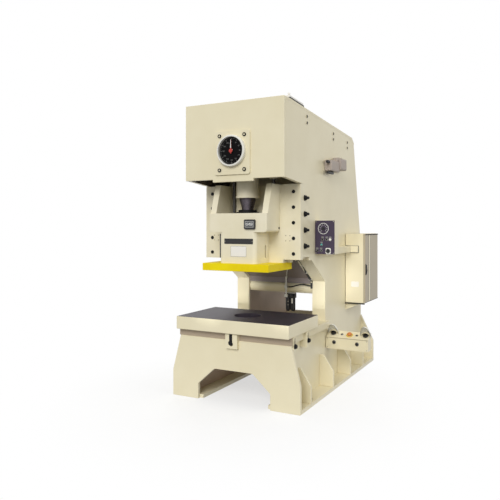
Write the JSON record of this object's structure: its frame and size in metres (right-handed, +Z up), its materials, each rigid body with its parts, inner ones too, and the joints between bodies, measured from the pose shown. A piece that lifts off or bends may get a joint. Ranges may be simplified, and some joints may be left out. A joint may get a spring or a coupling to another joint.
{
  "type": "mechanical stamping press",
  "caption": "Open-back C-frame mechanical stamping press with a crank-driven slide over a thick bolster, a flywheel drive inside, and a two-hand console and cabinet on its right side.",
  "frame": {"origin": "centre of the bolster's drop hole at the bolster's top face, on the ram's axis", "axes": "+X to the operator's right, +Y back into the press, +Z up along the ram's axis; the floor is 0.908 m below the origin"},
  "size_m": [1.921, 2.76, 3.317],
  "materials": {
    "cream_paint": "satin",
    "yellow_paint": "satin",
    "dark_steel": "ground",
    "steel": "turned",
    "cast_iron": "machined",
    "bronze": "turned",
    "grey_paint": "satin",
    "black_rubber": "matt",
    "grey_metal": "cast",
    "black_plastic": "matt",
    "white_face": "satin",
    "air_fitting": "cast",
    "zinc_steel": "zinc plated",
    "panel_paint": "satin",
    "green_button": "gloss",
    "red_button": "gloss",
    "teal_button": "gloss",
    "orange_button": "gloss"
  },
  "bodies": {
    "frame": {"side_plate_left": "cream_paint", "side_plate_right": "cream_paint", "throat_lining_left": "cream_paint", "throat_lining_right": "cream_paint", "gib_left": "cream_paint", "gib_right": "cream_paint", "crown_front_plate": "cream_paint", "crown_roof": "cream_paint", "crank_bearing_plate": "cream_paint", "pinion_bearing_plate": "cream_paint", "bed_front_plate": "cream_paint", "bed_plate": "cream_paint", "bolster": "dark_steel", "bed_rear_plate": "cream_paint", "foot_left": "cream_paint", "foot_right": "cream_paint", "foot_gussets": "cream_paint", "gib_screws": "steel", "counterbalance_cylinders": "cream_paint", "shaft_bushes": "bronze", "motor": "grey_paint", "drive_belts": "black_rubber", "dial_cover": "cream_paint", "dial_bezel": "white_face", "roof_cover": "grey_metal", "clutch_valve": "grey_metal", "air_tank": "cream_paint", "air_unit": "air_fitting", "air_pipe": "zinc_steel", "air_hose": "black_rubber", "cabinet": "cream_paint", "cable_duct": "cream_paint", "panel_box": "cream_paint", "panel_face": "panel_paint", "console_box": "cream_paint", "rear_guard": "cream_paint"},
    "connection": {"connecting_rod": "cream_paint"},
    "slide": {"slide": "cream_paint", "slide_plate": "yellow_paint", "ball_cap": "dark_steel", "counterbalance_rods": "steel", "height_counter": "black_plastic"},
    "screw": {"adjusting_screw": "steel"},
    "crank": {"crankshaft": "steel", "main_gear": "cast_iron", "dial_pointer": "black_plastic"},
    "pinion": {"pinion_shaft": "steel"},
    "flywheel": {"flywheel": "cast_iron"},
    "rotor": {"motor_pulley": "cast_iron"},
    "door": {"cabinet_door": "cream_paint"},
    "run_button": {"run_button": "green_button"},
    "stop_button": {"stop_button": "red_button"},
    "key_switch": {"key_switch": "black_plastic"},
    "palm_button_left": {"palm_button_left": "green_button"},
    "palm_button_right": {"palm_button_right": "green_button"},
    "console_button_left": {"console_button_left": "red_button"},
    "console_button_right": {"console_button_right": "teal_button"},
    "emergency_stop": {"emergency_stop": "orange_button"},
    "mode_knob_left": {"mode_knob_left": "black_plastic"},
    "mode_knob_right": {"mode_knob_right": "black_plastic"}
  },
  "joints": [
    {"name": "crank_turn", "type": "hinge", "parent": "frame", "child": "crank", "pos_m": [0, 0, 1.807], "axis": [0, 1, 0], "range_deg": [0, 180]},
    {"name": "slide_stroke", "type": "slide", "parent": "frame", "child": "connection", "axis": [0, 0, -1], "range_m": [0, 0.16]},
    {"name": "adjust_screw_turn", "type": "hinge", "parent": "slide", "child": "screw", "pos_m": [0, 0, 1.2], "axis": [0, 0, 1], "range_deg": [0, 3960]},
    {"name": "die_height_adjust", "type": "slide", "parent": "connection", "child": "slide", "axis": [0, 0, -1], "range_m": [0, 0.1101]},
    {"name": "pinion_turn", "type": "hinge", "parent": "frame", "child": "pinion", "pos_m": [0, 0.7, 1.339], "axis": [0, 1, 0], "range_deg": [-900, 0]},
    {"name": "flywheel_spin", "type": "hinge", "parent": "frame", "child": "flywheel", "pos_m": [0, 1.725, 1.339], "axis": [0, 1, 0], "continuous": true},
    {"name": "motor_spin", "type": "hinge", "parent": "frame", "child": "rotor", "pos_m": [0, 1.725, 0.652], "axis": [0, 1, 0], "continuous": true},
    {"name": "cabinet_door_hinge", "type": "hinge", "parent": "frame", "child": "door", "pos_m": [0.8635, 2.219, 0.45], "axis": [0, 0, 1], "range_deg": [0, 110]},
    {"name": "run_button_press", "type": "slide", "parent": "frame", "child": "run_button", "axis": [0, 1, 0], "range_m": [0, 0.004], "stiffness_N_per_m": 900, "springref_m": -0.003},
    {"name": "stop_button_press", "type": "slide", "parent": "frame", "child": "stop_button", "axis": [0, 1, 0], "range_m": [0, 0.004], "stiffness_N_per_m": 900, "springref_m": -0.003},
    {"name": "palm_button_left_press", "type": "slide", "parent": "frame", "child": "palm_button_left", "axis": [0, 0.4746, -0.8802], "range_m": [0, 0.008], "stiffness_N_per_m": 900, "springref_m": -0.003},
    {"name": "palm_button_right_press", "type": "slide", "parent": "frame", "child": "palm_button_right", "axis": [0, 0.4746, -0.8802], "range_m": [0, 0.008], "stiffness_N_per_m": 900, "springref_m": -0.003},
    {"name": "console_button_left_press", "type": "slide", "parent": "frame", "child": "console_button_left", "axis": [0, 0.4746, -0.8802], "range_m": [0, 0.004], "stiffness_N_per_m": 900, "springref_m": -0.003},
    {"name": "console_button_right_press", "type": "slide", "parent": "frame", "child": "console_button_right", "axis": [0, 0.4746, -0.8802], "range_m": [0, 0.004], "stiffness_N_per_m": 900, "springref_m": -0.003},
    {"name": "emergency_stop_press", "type": "slide", "parent": "frame", "child": "emergency_stop", "axis": [0, 0.4746, -0.8802], "range_m": [0, 0.006]},
    {"name": "key_switch_turn", "type": "hinge", "parent": "frame", "child": "key_switch", "pos_m": [0.767, 0.512, 0.72], "axis": [0, 1, 0], "range_deg": [0, 90]},
    {"name": "mode_knob_left_turn", "type": "hinge", "parent": "frame", "child": "mode_knob_left", "pos_m": [0.714, 0.86, -0.388], "axis": [0, 1, 0], "range_deg": [0, 90]},
    {"name": "mode_knob_right_turn", "type": "hinge", "parent": "frame", "child": "mode_knob_right", "pos_m": [0.997, 0.86, -0.388], "axis": [0, 1, 0], "range_deg": [0, 90]}
  ],
  "couplings": [
    {"joint": "slide_stroke", "follows": "crank_turn", "m_per_rad": 0.05093},
    {"joint": "pinion_turn", "follows": "crank_turn", "ratio": -5},
    {"joint": "die_height_adjust", "follows": "adjust_screw_turn", "m_per_rad": 0.0015915},
    {"joint": "motor_spin", "follows": "flywheel_spin", "ratio": 3.6364}
  ]
}
